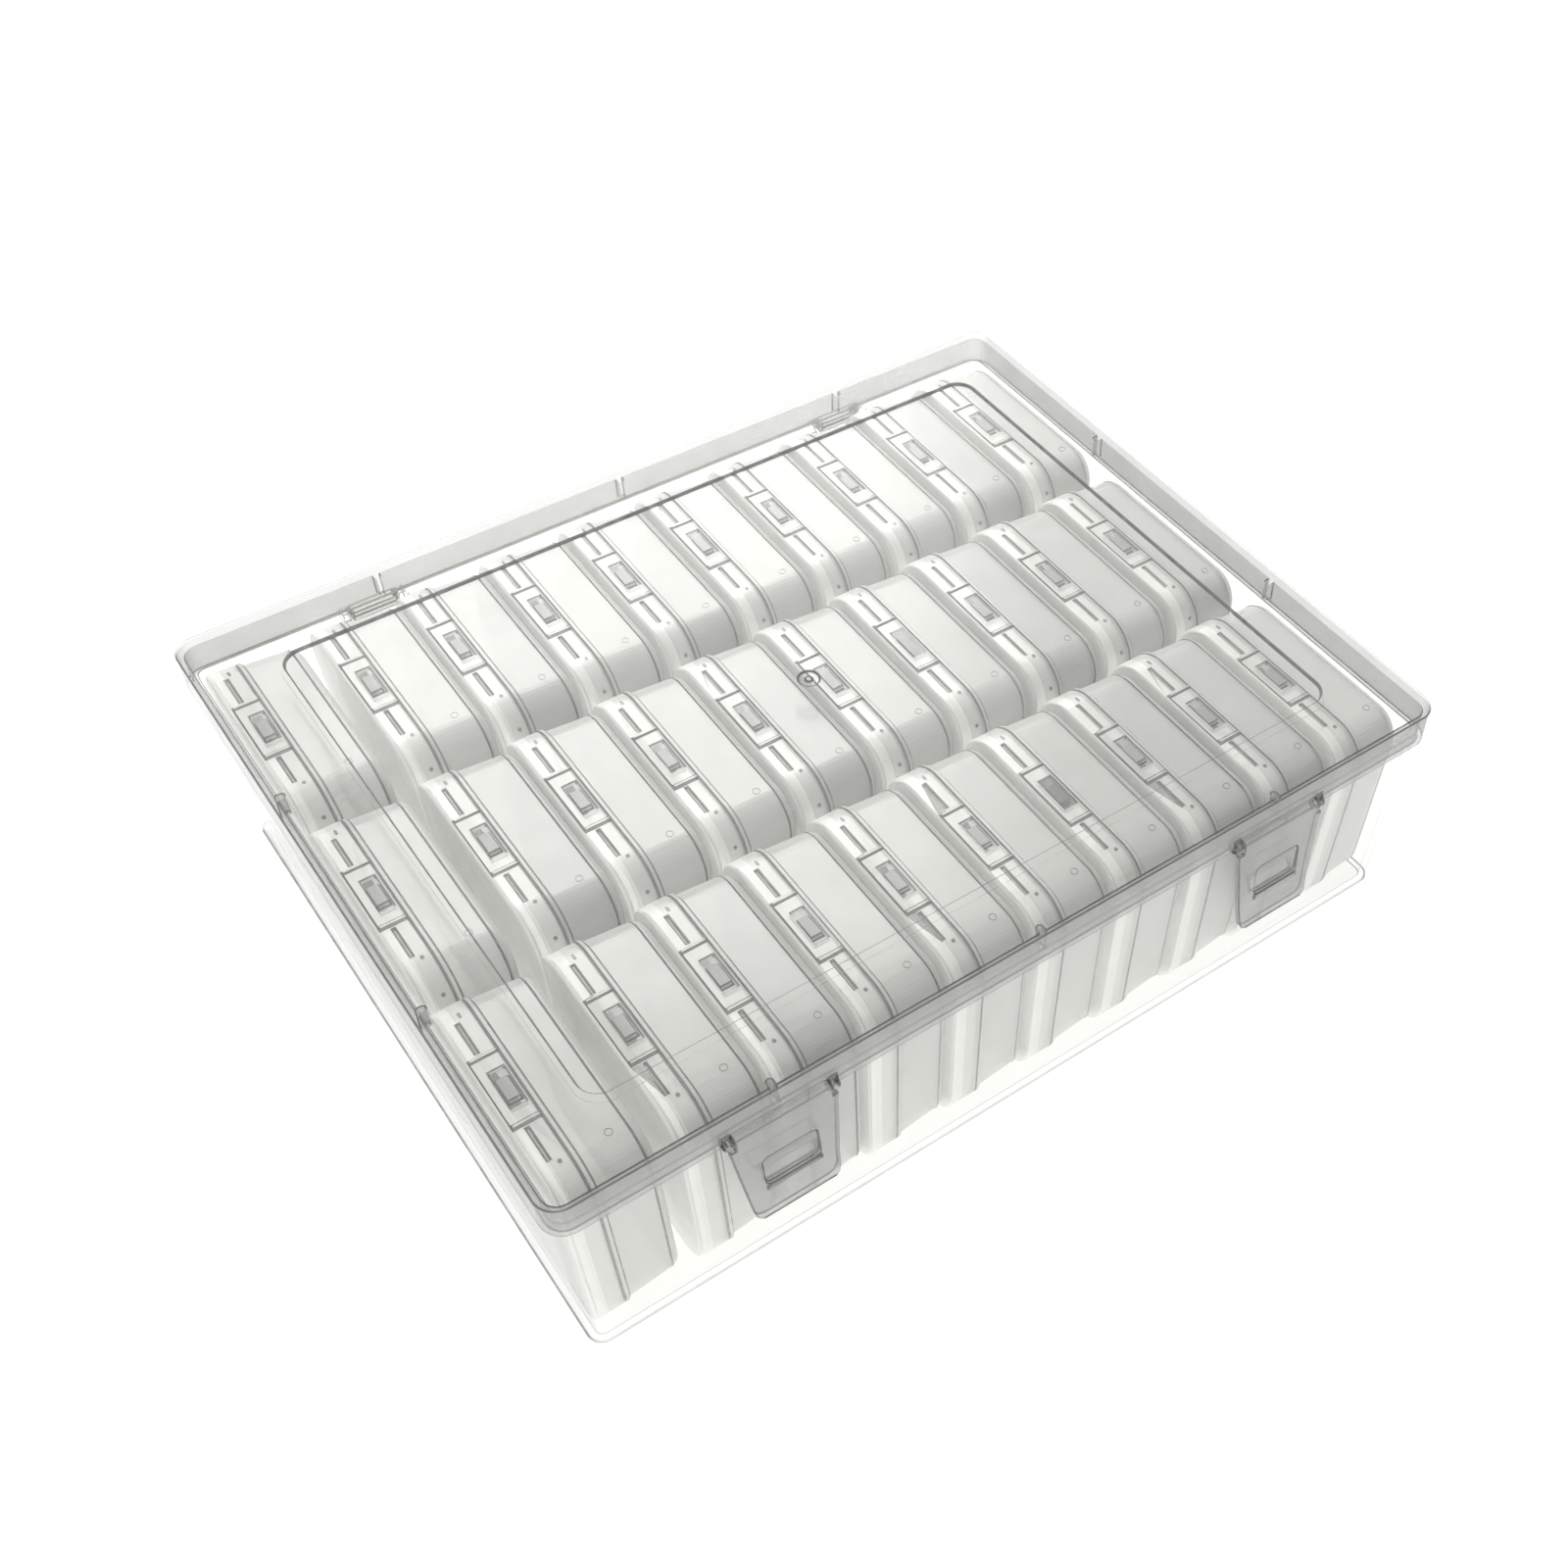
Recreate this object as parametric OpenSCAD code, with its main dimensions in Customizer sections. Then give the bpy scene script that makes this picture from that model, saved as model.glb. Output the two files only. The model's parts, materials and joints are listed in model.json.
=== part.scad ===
// Embroidery thread box: a clear hinged case with two flap latches.
// It holds thirty clear flip-lid boxes, three rows of ten, standing on edge.
// X runs along the latch side, Y from the latch side to the hinge side, Z up.
// The origin is the centre of the footprint, at the underside of the base.

/* [Case] */
// Free room at the right-hand end of the rows of small boxes
end_room = 1.6; // [0.6:0.1:12]
// Wall thickness of the case base
base_wall = 1.6; // [1.2:0.1:2]
// Floor thickness of the case base
base_floor = 1.6; // [1.2:0.1:2.4]
// Outer corner radius of the case base
base_corner = 4; // [4:0.5:10]
// How much narrower each base wall stands at its foot
base_draft = 0.3; // [0:0.05:0.6]
// Rounding under the outer edge of the base
foot_round = 1.6; // [0.8:0.1:3]

/* [Case lid] */
// Free room between the small boxes and the lid's sunk panel
head_room = 1.4; // [0.6:0.1:10]
// Thickness of the lid plate
lid_plate = 1.8; // [1.4:0.1:2.4]
// Thickness of the lid skirt
skirt_wall = 1.4; // [1:0.1:2]
// Height of the skirt band under the lid's top face
skirt_h = 10.3; // [9.6:0.1:12]
// How far the skirt reaches down over the base walls
skirt_overlap = 2.3; // [2:0.1:3]
// Gap between the base walls and the skirt
skirt_gap = 0.3; // [0.2:0.05:0.6]
// How much the skirt leans in from its lower edge to its top
skirt_draft = 0.5; // [0:0.05:0.8]
// Rounding of the lid's top edge
lid_round = 0.9; // [0.4:0.1:1.2]
// Distance from the lid's edge to the sunk panel, along X
panel_edge_x = 19.6; // [14:0.2:30]
// Distance from the lid's edge to the sunk panel, along Y
panel_edge_y = 18.6; // [14:0.2:30]
// Corner radius of the sunk panel
panel_corner = 5; // [3:0.5:10]
// How far the panel is sunk
panel_sink = 0.8; // [0.4:0.1:1.2]
// Distance from the case's middle to the outer stop ribs on the long sides
rib_x = 68; // [50:1:80]
// Distance from the case's middle to the stop ribs on the short sides
rib_y = 35; // [20:1:50]
// Thickness of the stop ribs inside the skirt
rib_t = 1.4; // [1:0.1:2]
// How far the stop ribs reach in over the base wall
rib_reach = 1.9; // [1.6:0.1:2]

/* [Latches] */
// Distance from the case's middle to each latch
latch_x = 68; // [50:1:80]
// Width of a latch at its hinge end
latch_w = 26; // [22:0.5:30]
// Width of a latch at its finger end
latch_tip_w = 21.6; // [16:0.2:24]
// Drop of a latch from its pivot to its finger edge
latch_drop = 27.4; // [26:0.2:32]
// How far the latch plate stands out from its pivot where it bends
latch_lean = 4; // [3.8:0.1:5]
// How far the finger edge stands out from the pivot
latch_flare = 5.4; // [4.6:0.1:6.4]
// Length of the finger end below the bend
finger_l = 6.4; // [5:0.2:8]
// Drop from the pivot to the crease where the latch plate starts to lean out
crease_drop = 4.6; // [3.6:0.2:7]
// Thickness of the latch plate
latch_t = 1.7; // [1.4:0.1:2]
// Depth of the finger pocket along its lower edge
pocket_depth = 0.9; // [0.6:0.1:1]
// Radius of the latch barrel
barrel_r = 1.5; // [1.3:0.1:1.6]
// Radius of the latch's stub pins
latch_pin_r = 0.7; // [0.5:0.05:0.8]
// Radial clearance round hinge and latch pins
pin_gap = 0.05; // [0.02:0.01:0.1]
// Width of the catch ledge on the base
catch_w = 16; // [10:0.5:18]

/* [Case hinges] */
// Distance from the case's middle to each hinge
hinge_x = 70; // [50:1:85]
// Radius of the hinge clip on the lid
clip_r = 2.2; // [2:0.1:2.4]
// Length of the hinge clip
clip_l = 12; // [8:0.5:16]
// Radius of the hinge pin moulded on the base
hinge_pin_r = 1.1; // [0.9:0.05:1.2]
// Thickness of the two ears that carry each hinge pin
ear_t = 2.2; // [1.6:0.1:3]

/* [Small boxes] */
// Side of a small box, along Y and Z
box_s = 58.6; // [54:0.1:58.7]
// Thickness of a closed small box, along X
box_t = 22.3; // [20:0.1:22.4]
// Gap between neighbouring boxes of a row
column_gap = 0.3; // [0.2:0.05:0.5]
// Wider gap behind the first box of each row
first_gap = 3.9; // [0.3:0.1:4]
// Gap between the rows
row_gap = 1.1; // [0.6:0.1:1.2]
// Gap between the small boxes and the case floor
seat_gap = 0.2; // [0.1:0.05:0.4]
// Corner radius of a small box
box_corner = 9.5; // [7:0.5:12]
// Wall thickness of a small box
box_wall = 1; // [0.8:0.1:1.2]
// Height of the small lid's skirt, from its outer face
box_lid_h = 7.4; // [6.4:0.1:9]
// Width of the flange on the small tray that meets the lid's skirt
flange_t = 1.3; // [1:0.1:1.8]
// How much the small tray's walls draw in below the flange
tray_step = 0.7; // [0.5:0.1:1]
// How much the small tray's walls taper towards its floor
tray_taper = 0.9; // [0.3:0.1:1.5]
// Rounding round the small tray's floor
tray_round = 2.2; // [1:0.1:3]
// Gap between the small tray's lip and the lid's skirt
lip_gap = 0.5; // [0.4:0.05:0.6]

/* [Small box latch] */
// Length of the small latch along the box edge
tab_l = 19.4; // [16:0.2:24]
// How far the small latch stands above the box edge
tab_rise = 0.6; // [0.4:0.1:0.7]
// Length of the catch window in the small latch
window_l = 10; // [7:0.5:12]
// Width of the catch window in the small latch
window_w = 4.4; // [3:0.2:4.6]
// Length of the flex slots on both sides of the small latch
slot_l = 9; // [5:0.5:10]
// Width of the flex slots
slot_w = 0.7; // [0.4:0.1:1]
// Radius of the small hinge barrel
box_barrel_r = 1; // [0.8:0.05:1.1]
// Length of the small hinge barrel
box_barrel_l = 12; // [8:0.5:20]
// Radius of the small hinge pins
box_pin_r = 0.45; // [0.35:0.05:0.5]

/* [Hidden] */
$fn = 48;
rows = ["front", "middle", "back"];
column_count = 10;
eps = 0.01;
thin_gap = 0.2;

// The small boxes set the size of the case
small_round = 0.7;
corner_room = (1 - sqrt(0.5)) * (base_corner - base_wall - small_round) + 0.1;
wall_room = corner_room + base_wall + base_draft;
filled_w = column_count * box_t + (column_count - 2) * column_gap + first_gap;
filled_d = 3 * box_s + 2 * row_gap;
box_z = base_floor + seat_gap;
case_w = filled_w + end_room + 2 * wall_room - corner_room;
case_d = filled_d + 2 * wall_room;
case_h = box_z + box_s + tab_rise + head_room + panel_sink + lid_plate;
skirt_z = case_h - skirt_h;
base_h = skirt_z + skirt_overlap;
plate_z = case_h - lid_plate;
lid_w = case_w + 2 * (skirt_gap + skirt_wall);
lid_d = case_d + 2 * (skirt_gap + skirt_wall);
lid_corner = base_corner + skirt_gap + skirt_wall;

// Latch pivot, measured outward from the base wall and up from the skirt's lower edge
pivot_out = 1.9;
pivot_y = -(case_d / 2 + pivot_out);
pivot_z = skirt_z + 1.2;
notch_gap = 0.4;
notch_depth = 8;
knuckle_l = 2;
notch_w = latch_w + 1.4;
latch_barrel_l = notch_w - 2 * knuckle_l - 0.4;
latch_pin_l = knuckle_l - 0.4;
latch_corner = 3;
plate_start = 1.2;
ledge_top = 12.1;
ledge_t = 2;
ledge_out = 2.8;
hook_top = ledge_top + ledge_t + notch_gap;
hook_w = catch_w - 3;
pocket_w = 13.4;
pocket_top = 9;
pocket_low = 18;
pocket_corner = 1.6;
pocket_fade = 0.15;
pocket_lip = 0.5;
crease_out = barrel_r + 0.25;
latch_bend = latch_drop - finger_l;

// Hinge axis, measured outward from the base wall and down from the skirt's lower edge
hinge_out = 2.7;
hinge_y = case_d / 2 + hinge_out;
hinge_z = skirt_z - 0.5 - clip_r;
clip_side_gap = 0.3;

// Small boxes are drawn lid down, thickness along Z, and then turned onto their edge
tray_z = box_lid_h + 0.1;
lip_z = 3;
window_rim = 0.9;
box_axis_z = lip_z + 2.2;
box_pin_l = 2;
row_pitch = box_s + row_gap;
column_pitch = box_t + column_gap;
first_x = -case_w / 2 + wall_room;

function column_x(c) = first_x + c * column_pitch + (c > 0 ? first_gap - column_gap : 0);
function row_y(r) = (r - 1) * row_pitch;
function two(n) = n < 10 ? str("0", n) : str(n);
function tray_name(r, c) = str("box_tray_", rows[r], "_", two(c + 1));
function lids_name(c) = str("box_lids_column_", two(c + 1));

// A moulded wall: a cut section carried round a rounded rectangle.
// The section's X is the distance out from the corner centres, its Y is height.
module wall_sweep(w, d, r) {
    for (i = [0:3]) {
        along = (i % 2 == 0 ? d : w) - 2 * r;
        out = (i % 2 == 0 ? w : d) / 2 - r;
        rotate([0, 0, 90 * i]) {
            translate([out, along / 2, 0]) {
                rotate_extrude(angle = 90) children();
                rotate([90, 0, 0]) linear_extrude(along) children();
            }
        }
    }
}

module rounded_slab(w, d, r, t) {
    cube([w - 2 * r, d, 2 * t], center = true);
    cube([w, d - 2 * r, 2 * t], center = true);
    for (sx = [-1, 1], sy = [-1, 1])
        translate([sx * (w / 2 - r), sy * (d / 2 - r), 0]) cylinder(r = r, h = 2 * t, center = true);
}

// What a fillet takes off an outer corner of a section
module fillet_cut(corner, r, up) {
    translate(corner) mirror([0, up, 0]) difference() {
        translate([-r, -1]) square([r + 1, r + 1]);
        translate([-r, r]) circle(r = r);
    }
}

module base_section() {
    r = base_corner;
    difference() {
        polygon([
            [0, 0], [r - base_draft, 0], [r, base_h], [r - base_wall, base_h],
            [r - base_wall - base_draft, base_floor], [0, base_floor]
        ]);
        fillet_cut([r - base_draft, 0], foot_round, 0);
    }
}

module catch_ledge() {
    top = pivot_z - ledge_top;
    back = case_d / 2 - base_wall / 2;
    tip = case_d / 2 + ledge_out;
    translate([-catch_w / 2, 0, 0]) rotate([90, 0, 90]) linear_extrude(catch_w)
        polygon([
            [-back, top + 1.6], [-tip + 0.6, top], [-tip, top - 0.6], [-tip, top - ledge_t],
            [-back, top - ledge_t]
        ]);
}

module hinge_ears() {
    reach = clip_l / 2 + clip_side_gap;
    for (side = [-1, 1])
        translate([side * (reach + ear_t / 2) - ear_t / 2, 0, 0]) rotate([90, 0, 90]) linear_extrude(ear_t) {
            translate([hinge_y, hinge_z]) circle(r = clip_r);
            translate([case_d / 2 - base_wall / 2, hinge_z - clip_r])
                square([hinge_out + base_wall / 2, 2 * clip_r - 0.6]);
            polygon([
                [case_d / 2 - base_wall / 2, hinge_z - clip_r - 4], [case_d / 2 - base_wall / 2, hinge_z],
                [hinge_y + 0.6, hinge_z - clip_r + 0.2]
            ]);
        }
    translate([-reach - eps, hinge_y, hinge_z]) rotate([0, 90, 0])
        cylinder(r = hinge_pin_r, h = 2 * (reach + eps));
}

module case_base() {
    color([0.86, 0.87, 0.86, 0.45]) {
        wall_sweep(case_w, case_d, base_corner) base_section();
        translate([0, 0, base_floor / 2])
            cube([case_w - 2 * base_corner, case_d - 2 * base_corner, base_floor], center = true);
        for (side = [-1, 1]) {
            translate([side * latch_x, 0, 0]) catch_ledge();
            translate([side * hinge_x, 0, 0]) hinge_ears();
        }
    }
}

module lid_section() {
    r = lid_corner;
    top_r = r - skirt_draft;
    difference() {
        polygon([
            [0, plate_z], [r - skirt_wall - skirt_draft, plate_z], [r - skirt_wall, skirt_z],
            [r, skirt_z], [top_r, case_h], [0, case_h]
        ]);
        fillet_cut([top_r, case_h], lid_round, 1);
    }
}

// The panel is pressed down from the plate, so its step shows above and below
module lid_panel(grow, from_z, to_z) {
    w = lid_w - 2 * panel_edge_x + 2 * grow;
    d = lid_d - 2 * panel_edge_y + 2 * grow;
    translate([0, 0, (from_z + to_z) / 2]) rounded_slab(w, d, panel_corner + grow, (to_z - from_z) / 2);
}

module stop_rib() {
    // Drawn for the latch side: from the skirt's inner face inward, over the base wall
    out = lid_d / 2 - skirt_wall - skirt_draft / 2 + 0.3;
    low = base_h + seat_gap + 0.2;
    translate([0, -out, 0]) {
        translate([-rib_t / 2, 0, low])
            cube([rib_t, rib_reach, plate_z - low + eps]);
        translate([0, rib_reach, low]) cylinder(d = rib_t, h = plate_z - low + eps);
    }
}

module stop_ribs() {
    for (x = [-rib_x, 0, rib_x], turn = [0, 180]) rotate([0, 0, turn]) translate([x, 0, 0]) stop_rib();
    for (y = [-rib_y, rib_y], turn = [-90, 90])
        translate([sign(turn) * (lid_w - lid_d) / 2, y, 0]) rotate([0, 0, turn]) stop_rib();
}

module latch_notch() {
    top = pivot_z + barrel_r + notch_gap;
    translate([-notch_w / 2, pivot_y - notch_depth / 2, skirt_z - 1])
        cube([notch_w, notch_depth, top - skirt_z + 1]);
}

module latch_knuckles() {
    for (side = [-1, 1])
        translate([side * (notch_w / 2 - knuckle_l / 2) - knuckle_l / 2 - eps, 0, 0]) difference() {
            union() {
                translate([0, pivot_y, pivot_z]) rotate([0, 90, 0])
                    cylinder(r = barrel_r, h = knuckle_l + 2 * eps);
                translate([0, -lid_d / 2, pivot_z])
                    cube([knuckle_l + 2 * eps, skirt_wall - 0.1, barrel_r + notch_gap + 0.4]);
            }
            translate([-1, pivot_y, pivot_z]) rotate([0, 90, 0])
                cylinder(r = latch_pin_r + pin_gap, h = knuckle_l + 2);
        }
}

// Snap-in hinge clip: a barrel with an open mouth that clips over the base's pin
module hinge_clip() {
    difference() {
        union() {
            translate([-clip_l / 2, hinge_y, hinge_z]) rotate([0, 90, 0]) cylinder(r = clip_r, h = clip_l);
            translate([-clip_l / 2, hinge_y - clip_r, hinge_z])
                cube([clip_l, clip_r, skirt_z - hinge_z + 0.2]);
            translate([-clip_l / 2, lid_d / 2 - skirt_wall + 0.2, skirt_z - 0.2])
                cube([clip_l, skirt_wall - 0.4, 3]);
        }
        translate([-clip_l, hinge_y, hinge_z]) rotate([0, 90, 0])
            cylinder(r = hinge_pin_r + pin_gap, h = 2 * clip_l);
        translate([-clip_l, hinge_y + 0.2, hinge_z - clip_r - 1])
            rotate([30, 0, 0]) cube([2 * clip_l, 1.7, clip_r + 1]);
    }
}

module gate_mark() {
    top = case_h - panel_sink;
    difference() {
        translate([0, 0, top - 0.4]) cylinder(r = 2.6, h = 2);
        translate([0, 0, top - 0.5]) cylinder(r = 0.9, h = 0.4);
    }
}

module case_lid() {
    color([0.80, 0.81, 0.80, 0.45]) {
        difference() {
            union() {
                wall_sweep(lid_w, lid_d, lid_corner) lid_section();
                translate([0, 0, plate_z + lid_plate / 2])
                    cube([lid_w - 2 * lid_corner, lid_d - 2 * lid_corner, lid_plate], center = true);
                lid_panel(1, plate_z - panel_sink, plate_z + eps);
            }
            lid_panel(0, case_h - panel_sink, case_h + 1);
            gate_mark();
            for (side = [-1, 1]) translate([side * latch_x, 0, 0]) latch_notch();
        }
        stop_ribs();
        for (side = [-1, 1]) {
            translate([side * latch_x, 0, 0]) latch_knuckles();
            translate([side * hinge_x, 0, 0]) hinge_clip();
        }
    }
}

// Outer and inner face of the latch plate at a given drop, as distances out from the pivot
function latch_face(drop) = crease_out
    + (latch_lean - crease_out) * (drop - crease_drop) / (latch_bend - crease_drop);
function latch_hook_face(drop) = barrel_r - latch_t
    + (latch_lean - barrel_r) * (drop - plate_start) / (latch_bend - plate_start);

// The latch's side view: X is the distance out from the pivot, Y is height above it
module latch_plate_section() {
    circle(r = barrel_r);
    polygon([
        [barrel_r, 0], [crease_out, -crease_drop], [latch_lean, -latch_bend],
        [latch_flare, -latch_drop + 0.5], [latch_flare - 0.4, -latch_drop],
        [latch_flare - latch_t, -latch_drop], [latch_lean - latch_t, -latch_bend],
        [barrel_r - latch_t, -plate_start], [0, 0]
    ]);
    // Hook that bites under the base's ledge
    polygon([
        [-0.4, -hook_top], [-0.4, -hook_top - 1.2], [1.9, -hook_top - 3.6], [2.6, -hook_top - 2],
        [2.2, -hook_top]
    ]);
}

module latch_outline() {
    w = latch_w / 2;
    tip = latch_tip_w / 2;
    r = latch_corner;
    low = -latch_drop;
    shoulder = -barrel_r - notch_gap;
    polygon([[-w, shoulder], [w, shoulder], [tip, low + r], [tip - r, low], [r - tip, low], [-tip, low + r]]);
    for (side = [-1, 1]) translate([side * (tip - r), low + r]) circle(r = r);
    translate([-latch_barrel_l / 2, shoulder - eps])
        square([latch_barrel_l, 2 * barrel_r + notch_gap + 2 * eps]);
}

// Carries a side view across the latch, centred on it
module across(w) {
    translate([-w / 2, 0, 0]) rotate([90, 0, -90]) mirror([0, 0, 1]) linear_extrude(w) children();
}

// Finger pocket in the outer face: it fades in from the top and ends in a deep lower edge
module finger_pocket() {
    outside = latch_flare + latch_t;
    intersection() {
        across(pocket_w) polygon([
            [latch_face(pocket_top) - pocket_fade, -pocket_top], [outside, -pocket_top],
            [outside, -pocket_low], [latch_face(pocket_low) - pocket_depth, -pocket_low]
        ]);
        translate([0, 0, -(pocket_top + pocket_low) / 2]) rotate([90, 0, 0])
            rounded_slab(pocket_w, pocket_low - pocket_top, pocket_corner, 2 * outside);
    }
}

module latch() {
    difference() {
        intersection() {
            across(2 * latch_w) latch_plate_section();
            translate([0, latch_w, 0]) rotate([90, 0, 0]) linear_extrude(2 * latch_w) latch_outline();
        }
        finger_pocket();
        // The hook is narrower than the plate
        for (side = [-1, 1])
            translate([side * (hook_w / 2 + latch_w / 2), 0, 0]) across(latch_w)
                polygon([
                    [-3, -hook_top + 1], [latch_hook_face(hook_top - 1), -hook_top + 1],
                    [latch_hook_face(hook_top + 5), -hook_top - 5], [-3, -hook_top - 5]
                ]);
    }
    // Finger ridge under the pocket
    across(pocket_w) translate([latch_face(pocket_low + pocket_lip), -pocket_low - pocket_lip])
        circle(r = pocket_lip);
    for (side = [-1, 1])
        translate([side * (latch_barrel_l / 2 + latch_pin_l / 2 - eps / 2), 0, 0]) rotate([0, 90, 0])
            cylinder(r = latch_pin_r, h = latch_pin_l + eps, center = true);
}

module latch_left() {
    color([0.74, 0.75, 0.75, 0.5]) translate([-latch_x, pivot_y, pivot_z]) latch();
}

module latch_right() {
    color([0.74, 0.75, 0.75, 0.5]) translate([latch_x, pivot_y, pivot_z]) latch();
}

// Sections of the small box, drawn with the lid's outer face at height 0
module tray_section() {
    r = box_corner;
    wall_r = r - tray_step;
    floor_r = wall_r - tray_taper;
    lip_r = r - box_wall - lip_gap;
    flange_z = tray_z + flange_t;
    difference() {
        polygon([
            [lip_r, lip_z], [lip_r, tray_z], [r, tray_z], [r, flange_z], [wall_r, flange_z],
            [floor_r, box_t], [0, box_t], [0, box_t - box_wall],
            [floor_r - box_wall - tray_round / 3, box_t - box_wall],
            [floor_r - box_wall, box_t - box_wall - tray_round / 3],
            [lip_r - box_wall, flange_z + 1], [lip_r - box_wall, lip_z]
        ]);
        fillet_cut([floor_r, box_t], tray_round, 1);
    }
}

module small_lid_section() {
    r = box_corner;
    difference() {
        polygon([
            [0, 0], [r, 0], [r, box_lid_h], [r - box_wall, box_lid_h], [r - box_wall, box_wall], [0, box_wall]
        ]);
        fillet_cut([r, 0], small_round, 0);
    }
}

// Turns a box drawn lid down onto its edge: lid to -X, latch edge up
module on_edge(r, c) {
    translate([column_x(c), row_y(r), box_z + box_s / 2]) rotate([0, 90, 0]) children();
}

module small_core(z0, z1) {
    inner = box_s - 2 * box_corner;
    translate([0, 0, (z0 + z1) / 2]) cube([inner, inner, z1 - z0], center = true);
}

module box_tray(r, c) {
    edge = box_s / 2;
    color([0.84, 0.85, 0.84, 0.45]) on_edge(r, c) {
        wall_sweep(box_s, box_s, box_corner) tray_section();
        small_core(box_t - box_wall, box_t);
        // Catch that sits in the lid's window
        translate([-edge + 0.1, 2 - window_l / 2, box_lid_h - window_w + thin_gap])
            cube([box_wall + lip_gap + 0.4, window_l - 4, window_w - window_rim - 2 * thin_gap]);
        // Hinge barrel, with a bore at each end for the lid's pins
        difference() {
            translate([edge - box_barrel_r, 0, box_axis_z]) rotate([90, 0, 0])
                cylinder(r = box_barrel_r, h = box_barrel_l, center = true);
            translate([edge - box_barrel_r, 0, box_axis_z]) rotate([90, 0, 0])
                cylinder(r = box_pin_r + pin_gap, h = box_barrel_l + 2, center = true);
        }
    }
}

module small_lid() {
    edge = box_s / 2;
    notch_l = box_barrel_l + 2 * thin_gap;
    difference() {
        union() {
            wall_sweep(box_s, box_s, box_corner) small_lid_section();
            small_core(0, box_wall);
            // Raised latch tab with a bar at each end
            translate([-edge - tab_rise + 0.3, -tab_l / 2, 1]) cube([tab_rise + 0.2, tab_l, box_lid_h - 1]);
            for (side = [-1, 1])
                translate([-edge - tab_rise, side * (tab_l / 2 - 0.5) - 0.5, 1])
                    cube([tab_rise + 0.5, 1, box_lid_h - 1]);
        }
        // Window for the tray's catch
        translate([-edge - 2, -window_l / 2, box_lid_h - window_w])
            cube([4, window_l, window_w - window_rim]);
        // Flex slots beside the tab
        for (side = [-1, 1])
            translate([-edge - 0.5, side * (tab_l / 2 + slot_l / 2 + 0.8) - slot_l / 2, 3.2])
                cube([0.5 + box_wall / 2, slot_l, slot_w]);
        // Notch for the tray's hinge barrel
        translate([edge - 2, -notch_l / 2, box_axis_z - box_barrel_r - thin_gap])
            cube([4, notch_l, box_lid_h]);
    }
    for (side = [-1, 1])
        translate([edge - box_barrel_r, side * (notch_l / 2 - box_pin_l / 2 + 0.6), box_axis_z])
            rotate([90, 0, 0]) cylinder(r = box_pin_r, h = box_pin_l, center = true);
}

module box_lids(c) {
    color([0.88, 0.89, 0.88, 0.45]) for (r = [0:2]) on_edge(r, c) small_lid();
}

case_base();
case_lid();
latch_left();
latch_right();
for (r = [0:2], c = [0:column_count - 1])
    box_tray(r, c);
for (c = [0:column_count - 1])
    box_lids(c);
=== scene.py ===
"""The looks of the embroidery thread box: clear moulded plastic, denser where it is seen edge on.

Metres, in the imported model's frame: X along the latch side, Y towards the hinges, Z up.
"""
import json
import math

import bmesh
import bpy
from mathutils import Matrix, Vector
from mathutils.bvhtree import BVHTree


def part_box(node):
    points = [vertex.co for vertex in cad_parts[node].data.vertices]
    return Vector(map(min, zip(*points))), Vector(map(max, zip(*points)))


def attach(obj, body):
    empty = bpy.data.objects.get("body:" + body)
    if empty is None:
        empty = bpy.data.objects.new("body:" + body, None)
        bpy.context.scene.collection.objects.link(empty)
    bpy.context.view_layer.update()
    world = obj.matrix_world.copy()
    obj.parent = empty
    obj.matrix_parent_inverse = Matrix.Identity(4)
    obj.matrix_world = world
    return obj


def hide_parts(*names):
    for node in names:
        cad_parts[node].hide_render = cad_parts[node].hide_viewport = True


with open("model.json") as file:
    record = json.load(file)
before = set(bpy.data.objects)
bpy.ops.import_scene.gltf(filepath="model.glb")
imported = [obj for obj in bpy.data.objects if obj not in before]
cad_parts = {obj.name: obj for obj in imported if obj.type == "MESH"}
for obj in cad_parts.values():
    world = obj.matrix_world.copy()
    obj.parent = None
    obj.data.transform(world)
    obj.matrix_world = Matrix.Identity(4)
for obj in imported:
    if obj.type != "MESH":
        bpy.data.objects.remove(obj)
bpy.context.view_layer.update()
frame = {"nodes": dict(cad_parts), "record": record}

MM = 0.001

# Camera, fitted to the photograph
CAMERA_PLACE = Vector((-0.15067, -0.25162, 0.34664))
CAMERA_HEADING = math.radians(39.915)  # of the view, from +Y towards +X
CAMERA_DOWN = math.radians(54.287)
CAMERA_ROLL = math.radians(4.179)  # the frame's right side up
CAMERA_LENS = 38.518
CAMERA_SHIFT = (-0.125, 0.1299)
CAMERA_NEAR = 0.01

# Light
LAMPS = (
    # name, place, aimed at, side, watts
    ("key", (0.17, 0.42, 0.46), (0.03, 0.04, 0.03), 0.40, 3.9),
    ("fill", (-0.60, -0.95, 0.65), (0.0, 0.0, 0.03), 1.00, 6.5),
)
WORLD_LIGHT = 0.64  # of the world where light is gathered; where it is looked at, it is white
FLOOR_SIDE = 6.0
FLOOR_GLOW = 0.72  # the floor's own light where it is looked at, so that it is white there too
FLOOR_TONE = 0.45  # the part of the falling light, shadow included, that is seen on it
FLOOR_BOUNCE = 0.85  # what it throws back onto the box
CLEAR_LAYERS = 48  # of plastic that a ray passes
BOUNCES = 3
WHITE = (1, 1, 1, 1)

# Rounding that the mould leaves along each sharp edge
EDGE_WIDTH = 0.28 * MM
EDGE_ANGLE = math.radians(28)  # an edge sharper than this is rounded
SMOOTH_ANGLE = math.radians(30)  # an edge sharper than this stays hard in the shading
SEAM = 2e-6  # corners nearer than this are one
FLAT_ANGLE = math.radians(0.6)  # neighbouring faces nearer than this are one
STRAY = 0.4 * MM  # a rounded corner further than this from the CAD surface goes back to it

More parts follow.
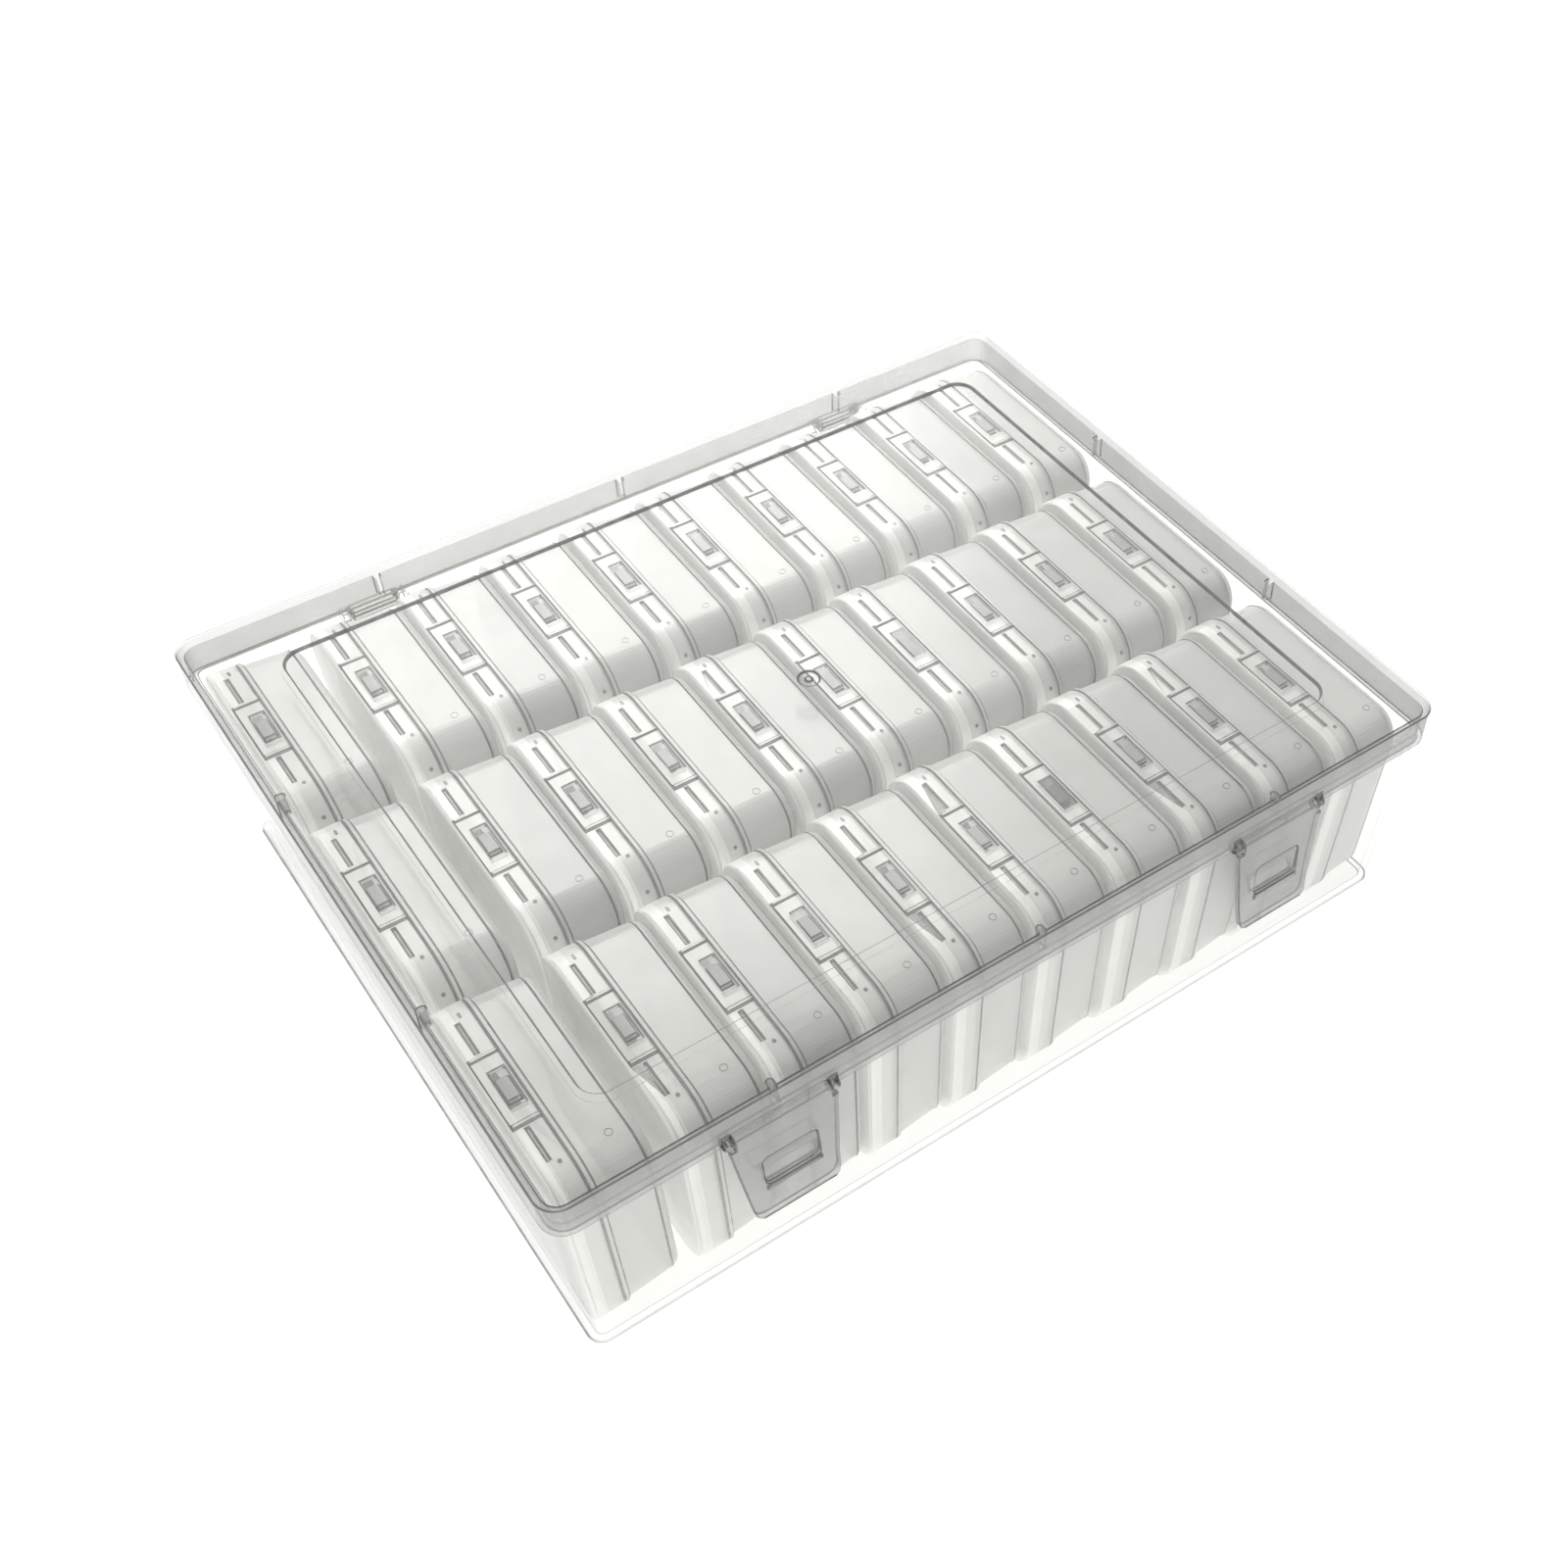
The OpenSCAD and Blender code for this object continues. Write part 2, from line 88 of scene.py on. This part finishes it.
# Each plastic: what a wall holds back seen face on, what it gains seen edge on, how fast it gains,
# its grey face on and edge on, and its roughness
WALLS = {
    "base": dict(film=0.02, rim=0.85, power=4.0, face=0.85, side=0.40, rough=0.10),
    "lid": dict(film=0.015, rim=0.95, power=3.0, face=0.62, side=0.30, rough=0.10),
    "latch": dict(film=0.36, rim=0.60, power=1.8, face=0.48, side=0.30, rough=0.20),
    "tray": dict(film=0.50, rim=0.40, power=2.0, face=0.62, side=0.76, rough=0.20),
    "small_lid": dict(film=0.45, rim=0.40, power=2.0, face=0.94, side=0.97, rough=0.20),
}
# A second tone: the lid's skirt, and the small lid behind its front band, as well as its latch tab.
# On the tray's catch it is painted shade: the recess drawn in a dark, dense plastic
TONES_AND_SHADE = {
    "lid": dict(film=0.32, rim=0.60, power=1.5, face=0.47, side=0.30, rough=0.12),
    # Painted shade: the tray's catch recess, drawn dark and dense
    "tray": dict(film=0.85, rim=0.10, power=2.0, face=0.34, side=0.34, rough=0.30),
    "small_lid": dict(film=0.45, rim=0.40, power=2.0, face=0.72, side=0.88, rough=0.20),
}
SKIRT_ROOM = 7 * MM  # the skirt, in from the lid's outline
PANEL_STEP = 1.2 * MM  # from the lid's top to below the edge of its sunk panel
BAND = 3.3 * MM  # the small lid's front band, back from its face
# The tray's catch, where its recess gets painted shade:
CATCH_DEPTH = 4.3 * MM  # the tray's catch, back from the tray's front
CATCH_LOW = 0.3 * MM  # and down from the box's top
TAB_RISE = 0.2 * MM  # what is higher than this over the box's top is the latch tab
UPRIGHT = 0.4  # an upright face's normal goes up or down by less than this
LEVEL = 0.9  # and a level face's normal by more than this
# Material slots of a piece
WALL, EDGE, TONE_AND_SHADE = range(3)
# The rounded edges: density and grey
EDGES = {
    "base": (0.80, 0.26),
    "lid": (0.90, 0.15),
    "latch": (0.90, 0.16),
    "tray": (0.85, 0.22),
    "small_lid": (0.85, 0.24),
}

# A small box, and the marks on its rim: depth from the lid's face, turn round the corner (below 0
# at the front), radius, length drawn out along the rim, radius of the hole
BOX_SIDE = 58.6 * MM
BOX_CORNER = 9.5 * MM
LIP_DEPTH = 3 * MM
MARK_RISE = 0.08 * MM
MARK_SIDES = 20
LID_MARKS = (
    (5.2 * MM, math.radians(-6), 0.45 * MM, 0.1 * MM, 0.02 * MM),
    (5.2 * MM, math.radians(-62), 0.45 * MM, 0.1 * MM, 0.02 * MM),
    (4.8 * MM, math.radians(8), 0.35 * MM, 1.0 * MM, 0.02 * MM),
)
TRAY_MARKS = ((16 * MM, math.radians(-4), 0.9 * MM, 0, 0.74 * MM),)
TINT = 0.99  # of the light, past the film
WARMTH = 0.992  # blue against red, for the faint warm grey of the plastic
INDEX = 1.49  # acrylic

# Unevenness: the size of a noise, what it is multiplied by, what is added, and its detail
CLOUD = (11 * MM, 0.24, 0.88, 2.0)  # of a wall's density
WEAR = (2.5 * MM, 0.5, 0.75)  # of an edge's density
EDGE_TONES = (4 * MM, 0.85, 1.15)  # of an edge's grey: size, darkest and lightest
EDGE_ROUGH = 0.25
SHEEN_SIZE, SHEEN_GAIN, SHEEN_DIP = 7 * MM, 0.16, 0.06  # of the roughness
GRAIN, GRAIN_STRENGTH, GRAIN_DEPTH = 2.5 * MM, 0.05, 0.05 * MM  # of the surface


class Tree:
    """A short way to write a material's or the world's node tree."""

    def __init__(self, owner):
        owner.use_nodes = True
        self.owner, self.tree = owner, owner.node_tree
        self.tree.nodes.clear()

    def node(self, kind, values=None, **settings):
        made = self.tree.nodes.new("ShaderNode" + kind)
        for key, value in settings.items():
            setattr(made, key, value)
        for key, value in (values or {}).items():
            if isinstance(value, bpy.types.NodeSocket):
                self.tree.links.new(value, made.inputs[key])
            else:
                made.inputs[key].default_value = value
        return made

    def math(self, operation, a, b=0.0, c=0.0, clamp=False):
        made = self.node("Math", {0: a, 1: b, 2: c}, operation=operation)
        made.use_clamp = clamp
        return made.outputs[0]

    def mix(self, factor, a, b):
        return self.node("Mix", {0: factor, 6: a, 7: b}, data_type="RGBA").outputs[2]

    def noise(self, size, detail=1.0):
        """Noise from 0 to 1 with features of about this size in metres."""
        place = self.node("TexCoord").outputs["Object"]
        made = self.node("TexNoise", {"Vector": place, "Scale": 1 / size, "Detail": detail})
        return made.outputs["Fac"]

    def uneven(self, size, gain, base, detail=1.0):
        """Noise as a factor, from base to base + gain."""
        return self.math("MULTIPLY_ADD", self.noise(size, detail), gain, base)

    def seen(self):
        """1 where a camera, a reflection or clear plastic looks, 0 where light is gathered."""
        path = self.node("LightPath").outputs
        looks = self.math("MAXIMUM", path["Is Camera Ray"], path["Is Glossy Ray"])
        return self.math("MAXIMUM", looks, path["Is Transmission Ray"])


def grey(level):
    return (level, level, level * WARMTH, 1)


def plastic(tree, density, colour, rough):
    """Clear plastic from a density and a colour: the light passes, and a film of it scatters."""
    bump = tree.node("Bump", {
        "Strength": GRAIN_STRENGTH, "Distance": GRAIN_DEPTH, "Height": tree.noise(GRAIN),
    })
    roughness = tree.uneven(SHEEN_SIZE, SHEEN_GAIN, rough - SHEEN_DIP)
    clear = tree.node("BsdfTransparent", {"Color": grey(TINT)})
    film = tree.node("BsdfPrincipled", {
        "Base Color": colour, "Roughness": roughness, "IOR": INDEX, "Normal": bump.outputs[0],
    })
    surface = tree.node("MixShader", {0: density, 1: clear.outputs[0], 2: film.outputs[0]})
    tree.node("OutputMaterial", {"Surface": surface.outputs[0]})
    return tree.owner


def wall_plastic(name, film, rim, power, face, side, rough):
    tree = Tree(bpy.data.materials.new(name + "_wall"))
    facing = tree.node("LayerWeight", {"Blend": 0.5}).outputs["Facing"]
    turned = tree.math("POWER", facing, power)
    held = tree.math("MULTIPLY_ADD", turned, rim, film)
    density = tree.math("MULTIPLY", held, tree.uneven(*CLOUD), clamp=True)
    return plastic(tree, density, tree.mix(turned, grey(face), grey(side)), rough)


def edge_plastic(name, density, level):
    tree = Tree(bpy.data.materials.new(name + "_edge"))
    size, darkest, lightest = EDGE_TONES
    colour = tree.mix(tree.noise(size), grey(level * darkest), grey(level * lightest))
    worn = tree.math("MULTIPLY", tree.uneven(*WEAR), density, clamp=True)
    return plastic(tree, worn, colour, EDGE_ROUGH)


def second_tone_and_shade(kind, face, low, high):
    """Whether a face has its plastic's second tone; on the tray's catch this is painted shade."""
    at, top = face.center, low.z + BOX_SIDE
    if kind == "lid":
        return abs(face.normal.z) < UPRIGHT and in_skirt(at, low, high)
    if kind == "small_lid":
        return at.x > low.x + BAND or at.z > top + TAB_RISE
    # The tray's catch takes the painted shade of its recess
    return kind == "tray" and at.z > top - CATCH_LOW and at.x < low.x + CATCH_DEPTH


def in_skirt(at, low, high):
    """Whether a place on the lid is in its skirt, near the lid's outline."""
    return max(abs(at.x) - high.x, low.y - at.y, at.y - high.y) > -SKIRT_ROOM


def moulded(node, kind):
    """Own copy of a CAD node with every sharp edge rounded, in a denser plastic along the edges.

    Takes the place of the node, whose own mesh stays as it is."""
    low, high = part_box(node)
    mesh = frame["nodes"][node].data.copy()
    if "custom_normal" in mesh.attributes:  # made for the sharp edges
        mesh.attributes.remove(mesh.attributes["custom_normal"])
    work = bmesh.new()
    work.from_mesh(mesh)
    bmesh.ops.remove_doubles(work, verts=work.verts, dist=SEAM)
    surface = BVHTree.FromBMesh(work)
    bmesh.ops.dissolve_limit(work, angle_limit=FLAT_ANGLE, verts=work.verts, edges=work.edges)
    if kind == "small_lid":
        everything = work.verts[:] + work.edges[:] + work.faces[:]
        bmesh.ops.bisect_plane(
            work, geom=everything, dist=SEAM, plane_co=(low.x + BAND, 0, 0), plane_no=(1, 0, 0),
        )
    work.to_mesh(mesh)
    work.free()
    mesh.materials.clear()
    for made in plastics[kind]:
        mesh.materials.append(made)
    piece = bpy.data.objects.new("moulded_" + node, mesh)
    bpy.context.scene.collection.objects.link(piece)
    bevel = piece.modifiers.new("edges", "BEVEL")
    bevel.width, bevel.segments = EDGE_WIDTH, 1
    bevel.limit_method, bevel.angle_limit = "ANGLE", EDGE_ANGLE
    bevel.use_clamp_overlap, bevel.material = False, EDGE
    rounded = piece.evaluated_get(bpy.context.evaluated_depsgraph_get())
    shown = bpy.data.meshes.new_from_object(rounded)
    piece.modifiers.clear()
    piece.data = shown
    for vertex in shown.vertices:
        near, _, _, away = surface.find_nearest(vertex.co)
        if away > STRAY:
            vertex.co = near
    for face in shown.polygons:
        if face.material_index == WALL and second_tone_and_shade(kind, face, low, high):
            face.material_index = TONE_AND_SHADE
        elif kind == "lid" and not in_skirt(face.center, low, high):
            # Only the step round the panel is drawn as an edge
            below = face.center.z < high.z - PANEL_STEP
            face.material_index = WALL if below or abs(face.normal.z) > LEVEL else EDGE
    shown.shade_smooth()
    shown.set_sharp_from_angle(angle=SMOOTH_ANGLE)
    for face in shown.polygons:  # faces with more corners are flat walls
        face.use_smooth = len(face.vertices) <= 4
    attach(piece, bodies[node])
    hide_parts(node)
    return piece


def kind_of(node):
    if node.startswith("box_tray"):
        return "tray"
    if node.startswith("box_lids"):
        return "small_lid"
    return {"case_base": "base", "case_lid": "lid"}.get(node, "latch")


def on_box(low, high, depth, turn):
    """A place on a small box's rim and its outward normal.

    Depth is the distance from the lid's face, turn the angle round the front or back corner, from
    the top."""
    side = math.copysign(1, turn)
    out = Vector((0, side * math.sin(abs(turn)), math.cos(turn)))
    corner = Vector((low.x + depth, high.y if side > 0 else low.y, low.z + BOX_SIDE))
    return corner + Vector((0, -side, -1)) * BOX_CORNER + out * BOX_CORNER, out


def add_mark(work, place, out, radius, length, hole):
    """A shallow disc or ring on the surface, drawn out along Y by length."""
    along = Vector((1, 0, 0)).cross(out)
    turned = Matrix((Vector((1, 0, 0)), along, out)).transposed().to_4x4()
    rings = []
    for reach, height in ((radius, 0), (radius, MARK_RISE), (hole, MARK_RISE), (hole, 0)):
        ring = []
        for i in range(MARK_SIDES):
            angle = 2 * math.pi * i / MARK_SIDES
            stretch = math.copysign(length / 2, math.sin(angle))
            flat = Vector((reach * math.cos(angle), reach * math.sin(angle) + stretch, height))
            ring.append(work.verts.new(place + turned @ flat))
        rings.append(ring)
    for inner, outer in zip(rings, rings[1:] + rings[:1]):
        for i in range(MARK_SIDES):
            j = (i + 1) % MARK_SIDES
            work.faces.new((inner[i], inner[j], outer[j], outer[i]))


def marks(name, kind, spots):
    """The marks that ejector pins leave on the rim of every small box."""
    work = bmesh.new()
    for node in sorted(n for n in frame["nodes"] if n.startswith("box_tray")):
        low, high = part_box(node)
        low.x -= LIP_DEPTH
        for depth, turn, radius, length, hole in spots:
            place, out = on_box(low, high, depth, turn)
            add_mark(work, place, out, radius, length, hole)
    mesh = bpy.data.meshes.new(name)
    work.to_mesh(mesh)
    work.free()
    mesh.materials.append(plastics[kind][EDGE])
    piece = bpy.data.objects.new(name, mesh)
    bpy.context.scene.collection.objects.link(piece)
    piece.visible_shadow = False
    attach(piece, bodies["case_base"])


# Pieces
plastics = {
    kind: [wall_plastic(kind, **WALLS[kind]), edge_plastic(kind, *EDGES[kind])] for kind in WALLS
}
# The second tones, and on the tray the painted shade of its catch
for kind, tone in TONES_AND_SHADE.items():
    plastics[kind].append(wall_plastic(kind + "_tone", **tone))
bodies = {
    node: body for body, nodes in frame["record"]["behaviour"]["bodies"].items() for node in nodes
}
for node in sorted(frame["nodes"]):
    piece = moulded(node, kind_of(node))
    piece.visible_shadow = not node.startswith("box_")
marks("lid_ejector_marks", "small_lid", LID_MARKS)
marks("tray_ejector_marks", "tray", TRAY_MARKS)

# Camera
camera = bpy.data.objects.new("camera", bpy.data.cameras.new("camera"))
bpy.context.scene.collection.objects.link(camera)
camera.data.lens = CAMERA_LENS
camera.data.shift_x, camera.data.shift_y = CAMERA_SHIFT
camera.data.clip_start = CAMERA_NEAR
ahead = Vector((
    math.sin(CAMERA_HEADING) * math.cos(CAMERA_DOWN),
    math.cos(CAMERA_HEADING) * math.cos(CAMERA_DOWN),
    -math.sin(CAMERA_DOWN),
))
level = Vector((math.cos(CAMERA_HEADING), -math.sin(CAMERA_HEADING), 0))
right = level * math.cos(CAMERA_ROLL) + level.cross(ahead) * math.sin(CAMERA_ROLL)
up = right.cross(ahead)
turned = Matrix((right, up, -ahead)).transposed().to_4x4()
camera.matrix_world = Matrix.Translation(CAMERA_PLACE) @ turned
bpy.context.scene.camera = camera

# Floor, world and lamps
bpy.ops.mesh.primitive_plane_add(size=FLOOR_SIDE)
floor = bpy.context.object
floor.name = "floor"
tree = Tree(bpy.data.materials.new("floor_paper"))
lit = tree.node("BsdfDiffuse", {"Color": grey(FLOOR_TONE)})
glow = tree.node("Emission", {"Strength": FLOOR_GLOW})
looked_at = tree.node("AddShader", {0: lit.outputs[0], 1: glow.outputs[0]})
bounce = tree.node("BsdfDiffuse", {"Color": grey(FLOOR_BOUNCE)})
paper = tree.node("MixShader", {0: tree.seen(), 1: bounce.outputs[0], 2: looked_at.outputs[0]})
tree.node("OutputMaterial", {"Surface": paper.outputs[0]})
floor.data.materials.append(tree.owner)

bpy.context.scene.world = bpy.data.worlds.new("studio")
tree = Tree(bpy.context.scene.world)
strength = tree.math("MULTIPLY_ADD", tree.seen(), 1 - WORLD_LIGHT, WORLD_LIGHT)
light = tree.node("Background", {"Color": WHITE, "Strength": strength})
tree.node("OutputWorld", {"Surface": light.outputs[0]})

for name, place, aim, side, watts in LAMPS:
    lamp = bpy.data.objects.new(name, bpy.data.lights.new(name, "AREA"))
    bpy.context.scene.collection.objects.link(lamp)
    lamp.data.size, lamp.data.energy = side, watts
    lamp.location = place
    lamp.rotation_mode = "QUATERNION"
    lamp.rotation_quaternion = (Vector(aim) - Vector(place)).to_track_quat("-Z", "Y")

scene = bpy.context.scene
scene.view_settings.view_transform = "Standard"
scene.cycles.transparent_max_bounces = CLEAR_LAYERS
scene.cycles.max_bounces = BOUNCES
